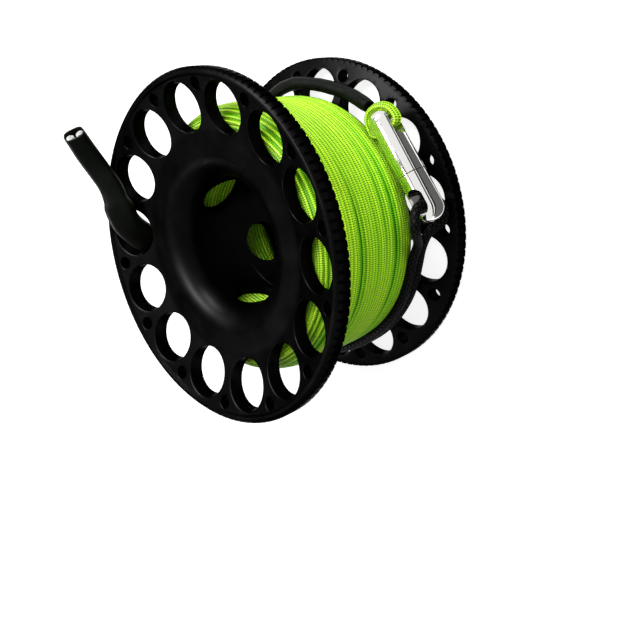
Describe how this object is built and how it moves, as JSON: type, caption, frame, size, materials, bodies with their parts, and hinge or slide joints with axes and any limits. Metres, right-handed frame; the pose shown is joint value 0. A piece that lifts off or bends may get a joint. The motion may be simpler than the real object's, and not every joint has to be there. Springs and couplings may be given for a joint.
{
  "type": "finger spool",
  "caption": "Flanged finger spool with perforated flanges, wound braided line, a barrel swivel on the line's end and an elastic retaining cord.",
  "frame": {"origin": "on the spool's axis, in the plane of the back flange's outer rim face, on which the spool lies", "axes": "+Z along the spool's axis from the back flange to the front flange, +X towards the middle of the barrel swivel's side of the wound line"},
  "size_m": [0.0811, 0.08, 0.0554],
  "materials": {
    "black_aluminium": "satin",
    "green_line": "matte",
    "black_sleeve": "satin",
    "black_cord": "matte",
    "steel": "polished"
  },
  "bodies": {
    "spool": {"front_half": "black_aluminium", "back_half": "black_aluminium", "line_core": "green_line", "line_outer_turns": "green_line", "line_lead": "green_line", "line_sleeve": "black_sleeve", "cord_sleeve": "black_sleeve", "elastic_cord": "black_cord", "swivel_cord_end": "steel", "swivel_pin": "steel", "swivel_washer": "steel"},
    "line_end": {"swivel_line_end": "steel", "swivel_collar": "steel", "line_end_loop": "green_line"}
  },
  "joints": [
    {"name": "swivel_turn", "type": "hinge", "parent": "spool", "child": "line_end", "pos_m": [0.03073, 0.01847, 0.01053], "axis": [-0.319, 0.9478, 0], "continuous": true}
  ]
}
